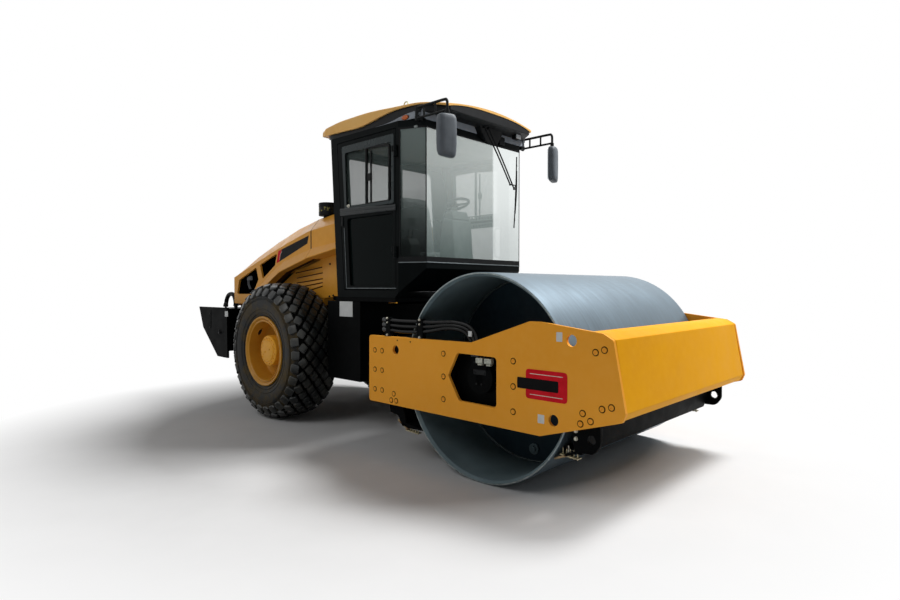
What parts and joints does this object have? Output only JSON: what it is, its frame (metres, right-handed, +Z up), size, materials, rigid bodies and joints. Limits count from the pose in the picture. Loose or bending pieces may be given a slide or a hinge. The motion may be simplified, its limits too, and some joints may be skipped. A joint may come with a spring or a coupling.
{
  "type": "road roller",
  "caption": "Articulated single-drum soil compactor with a smooth steel drum ahead, a glazed cab amidships and two block-tread drive tyres behind.",
  "frame": {"origin": "on the ground under the middle of the machine's length and width", "axes": "+X forwards, +Y to the machine's left, +Z up"},
  "size_m": [6.1692, 2.21, 3.1038],
  "materials": {
    "frame_black": "satin black chassis enamel",
    "ochre_enamel": "semi-gloss ochre enamel",
    "drum_steel": "rolled steel, semi-gloss",
    "cab_charcoal": "satin charcoal enamel",
    "pane_glass": "pale green safety glass",
    "tyre_rubber": "matt tyre rubber",
    "buffer_rubber": "moulded rubber",
    "cast_iron": "cast iron, painted",
    "chrome_rod": "hard chromed rod",
    "seat_fabric": "woven seat cover",
    "cab_plastic": "moulded plastic"
  },
  "bodies": {
    "rear_frame": {"rear_rails": "frame_black", "rear_crossmembers": "frame_black", "rear_axle": "cast_iron", "engine_block": "cast_iron", "side_tanks": "frame_black", "counterweight": "frame_black", "deck": "frame_black", "cab_frame": "cab_charcoal", "cab_glass": "pane_glass", "roof_shell": "ochre_enamel", "roof_visor": "cab_charcoal", "seat_base": "cab_plastic", "seat_cushion": "seat_fabric", "seat_back": "seat_fabric", "steering_column": "cab_plastic", "console": "cab_plastic", "mirrors": "cab_plastic", "cowl": "ochre_enamel", "side_panels": "ochre_enamel", "precleaner": "cab_plastic"},
    "hood": {"hood": "ochre_enamel"},
    "door_right": {"door_right": "cab_charcoal", "door_glass_right": "pane_glass"},
    "door_left": {"door_left": "cab_charcoal", "door_glass_left": "pane_glass"},
    "wheel_right": {"tyre_right": "tyre_rubber", "rim_right": "ochre_enamel", "hub_right": "ochre_enamel"},
    "wheel_left": {"tyre_left": "tyre_rubber", "rim_left": "ochre_enamel", "hub_left": "ochre_enamel"},
    "centre_link": {"centre_link": "frame_black"},
    "steer_barrel_right": {"steer_barrel_right": "frame_black"},
    "steer_rod_right": {"steer_rod_right": "chrome_rod"},
    "steer_barrel_left": {"steer_barrel_left": "frame_black"},
    "steer_rod_left": {"steer_rod_left": "chrome_rod"},
    "drum_frame": {"side_plates": "ochre_enamel", "front_beam": "ochre_enamel", "rear_beam": "ochre_enamel", "drum_supports": "frame_black", "drum_buffers": "buffer_rubber", "drum_motors": "cast_iron", "scrapers": "frame_black", "hoses": "buffer_rubber", "hose_clamps": "frame_black"},
    "drum": {"drum_shell": "drum_steel", "drum_heads": "drum_steel"}
  },
  "joints": [
    {"name": "steering", "type": "hinge", "parent": "rear_frame", "child": "centre_link", "pos_m": [0.405, 0, 0.79], "axis": [0, 0, 1], "range_deg": [-35, 35]},
    {"name": "oscillation", "type": "hinge", "parent": "centre_link", "child": "drum_frame", "pos_m": [0.65, 0, 0.79], "axis": [-1, 0, 0], "range_deg": [-10, 10]},
    {"name": "drum_spin", "type": "hinge", "parent": "drum_frame", "child": "drum", "pos_m": [1.93, 0, 0.768], "axis": [0, 1, 0], "continuous": true},
    {"name": "wheel_right_spin", "type": "hinge", "parent": "rear_frame", "child": "wheel_right", "pos_m": [-1.12, -0.831, 0.737], "axis": [0, 1, 0], "continuous": true},
    {"name": "wheel_left_spin", "type": "hinge", "parent": "rear_frame", "child": "wheel_left", "pos_m": [-1.12, 0.831, 0.737], "axis": [0, 1, 0], "continuous": true},
    {"name": "hood_tilt", "type": "hinge", "parent": "rear_frame", "child": "hood", "pos_m": [-2.69, 0, 1.215], "axis": [0, -1, 0], "range_deg": [0, 55]},
    {"name": "door_right_swing", "type": "hinge", "parent": "rear_frame", "child": "door_right", "pos_m": [0.735, -0.82, 2.1], "axis": [0, 0, 1], "range_deg": [0, 95]},
    {"name": "door_left_swing", "type": "hinge", "parent": "rear_frame", "child": "door_left", "pos_m": [0.735, 0.82, 2.1], "axis": [0, 0, -1], "range_deg": [0, 95]},
    {"name": "steer_barrel_right_swing", "type": "hinge", "parent": "rear_frame", "child": "steer_barrel_right", "pos_m": [-0.42, -0.26, 0.88], "axis": [0, 0, 1], "range_deg": [-5, 5]},
    {"name": "steer_rod_right_slide", "type": "slide", "parent": "steer_barrel_right", "child": "steer_rod_right", "axis": [0.9982, 0.0605, 0], "range_m": [-0.15, 0.15]},
    {"name": "steer_barrel_left_swing", "type": "hinge", "parent": "rear_frame", "child": "steer_barrel_left", "pos_m": [-0.42, 0.26, 0.88], "axis": [0, 0, 1], "range_deg": [-5, 5]},
    {"name": "steer_rod_left_slide", "type": "slide", "parent": "steer_barrel_left", "child": "steer_rod_left", "axis": [0.9982, -0.0605, 0], "range_m": [-0.15, 0.15]}
  ],
  "couplings": [
    {"joint": "steer_barrel_right_swing", "follows": "steering", "ratio": -0.02574},
    {"joint": "steer_rod_right_slide", "follows": "steering", "m_per_rad": 0.19605},
    {"joint": "steer_barrel_left_swing", "follows": "steering", "ratio": -0.02574},
    {"joint": "steer_rod_left_slide", "follows": "steering", "m_per_rad": -0.19605}
  ]
}
